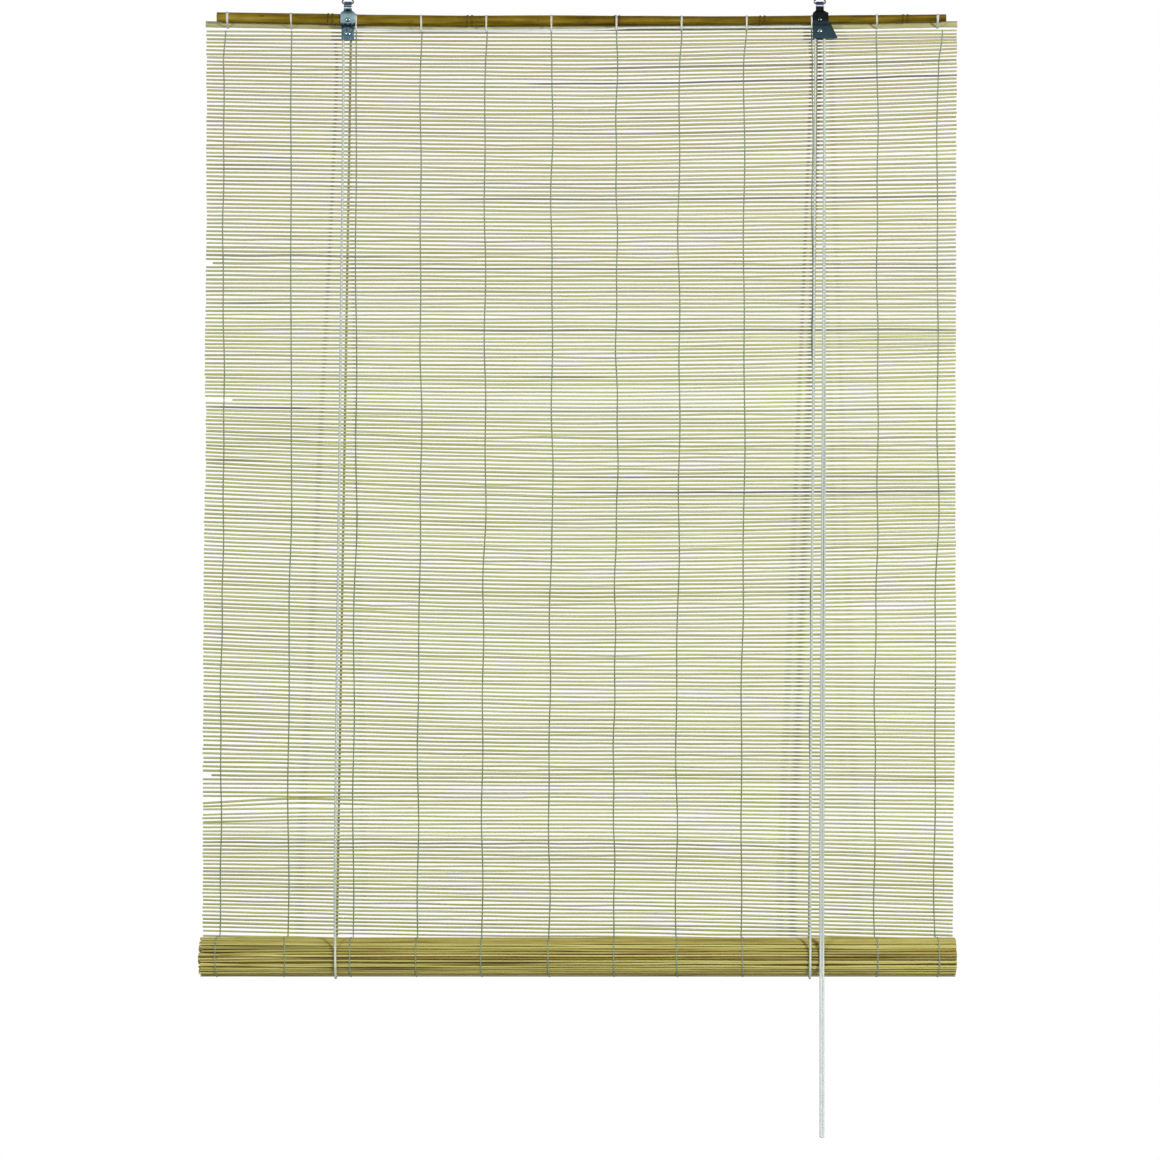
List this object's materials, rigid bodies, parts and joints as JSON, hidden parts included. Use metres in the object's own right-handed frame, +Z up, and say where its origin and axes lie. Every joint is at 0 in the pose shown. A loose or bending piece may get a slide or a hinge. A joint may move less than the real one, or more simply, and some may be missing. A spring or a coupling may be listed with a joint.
{
  "type": "bamboo roll up blind",
  "caption": "Bamboo stick blind hung by two wire rings, part rolled up in its cord slings, with pulley brackets, a cord lock and a looped pull cord.",
  "frame": {"origin": "mid-way between the two hanging rings, at the level of the hooks, which is the rings' inside top", "axes": "+Z up, +X to the right as the blind is seen from the room, +Y towards the window"},
  "size_m": [0.907, 0.0588, 1.3708],
  "materials": {
    "bamboo_pole": "olive brown bamboo cane, satin, with darker nodes",
    "batten_wood": "pale split bamboo strip, matt",
    "stick_wood": "pale straw-green split bamboo sticks, matt, with darker sticks among them",
    "rolled_sticks": "the same sticks wound close, straw to olive, matt",
    "warp_thread": "grey green twisted cotton thread",
    "loop_thread": "off-white cotton thread",
    "bright_steel": "zinc plated sheet steel, bluish and scuffed",
    "dark_steel": "zinc plated sheet steel that mirrors a dark room, blue black",
    "rivet_steel": "bright zinc plated rivet",
    "ring_wire": "zinc plated steel wire",
    "pulley_steel": "turned steel",
    "cord": "off-white braided cord"
  },
  "bodies": {
    "head": {"pole": "bamboo_pole", "batten": "batten_wood", "thread_loops": "loop_thread", "slat_mat": "stick_wood", "warp_threads": "warp_thread", "left_bracket": "bright_steel", "right_bracket": "dark_steel", "pole_rivets": "rivet_steel", "left_axle": "rivet_steel", "right_axle": "rivet_steel", "cross_cord": "cord", "lock_cord": "cord", "left_front_cord": "cord", "right_front_cord": "cord", "left_cord_tie": "cord", "right_cord_tie": "cord", "left_rear_cord": "cord", "right_rear_cord": "cord", "pull_cord_upper": "cord"},
    "left_ring": {"left_ring": "ring_wire"},
    "right_ring": {"right_ring": "ring_wire"},
    "left_pulley": {"left_pulley": "pulley_steel"},
    "right_pulley": {"right_pulley": "pulley_steel"},
    "lock_roller": {"lock_roller": "pulley_steel"},
    "roll_slings": {"left_sling": "cord", "right_sling": "cord", "pull_cord_tail": "cord"},
    "roll": {"mat_roll": "rolled_sticks", "core_rod": "bamboo_pole", "roll_threads": "warp_thread"},
    "pull_end": {"pull_loop": "cord"}
  },
  "joints": [
    {"name": "left_ring_swing", "type": "hinge", "parent": "head", "child": "left_ring", "pos_m": [-0.28, 0, -0.012], "axis": [1, 0, 0], "range_deg": [-90, 90]},
    {"name": "right_ring_swing", "type": "hinge", "parent": "head", "child": "right_ring", "pos_m": [0.2856, 0, -0.012], "axis": [1, 0, 0], "range_deg": [-90, 90]},
    {"name": "lock_roller_slide", "type": "slide", "parent": "head", "child": "lock_roller", "axis": [0.4348, 0, -0.9006], "range_m": [0, 0.0045]},
    {"name": "roll_lift", "type": "slide", "parent": "head", "child": "roll_slings", "axis": [0, 0, 1], "range_m": [0, 1.03], "deforming": ["slat_mat", "warp_threads", "left_front_cord", "right_front_cord", "left_rear_cord", "right_rear_cord", "pull_cord_upper"]},
    {"name": "roll_spin", "type": "hinge", "parent": "roll_slings", "child": "roll", "pos_m": [0, -0.014, -1.15404], "axis": [1, 0, 0], "range_deg": [-2495, 0]},
    {"name": "pull_draw", "type": "slide", "parent": "roll_slings", "child": "pull_end", "axis": [0, 0, -1], "range_m": [0, 3.09], "deforming": ["pull_cord_tail"]},
    {"name": "left_pulley_spin", "type": "hinge", "parent": "head", "child": "left_pulley", "pos_m": [-0.28, 0, -0.04861], "axis": [0, 1, 0], "range_deg": [0, 21465]},
    {"name": "right_pulley_spin", "type": "hinge", "parent": "head", "child": "right_pulley", "pos_m": [0.2856, 0, -0.0457], "axis": [0, 1, 0], "range_deg": [0, 21465]}
  ],
  "couplings": [
    {"joint": "roll_spin", "follows": "roll_lift", "rad_per_m": -42.194},
    {"joint": "pull_draw", "follows": "roll_lift", "ratio": 3},
    {"joint": "left_pulley_spin", "follows": "roll_lift", "rad_per_m": 363.64},
    {"joint": "right_pulley_spin", "follows": "roll_lift", "rad_per_m": 363.64}
  ]
}
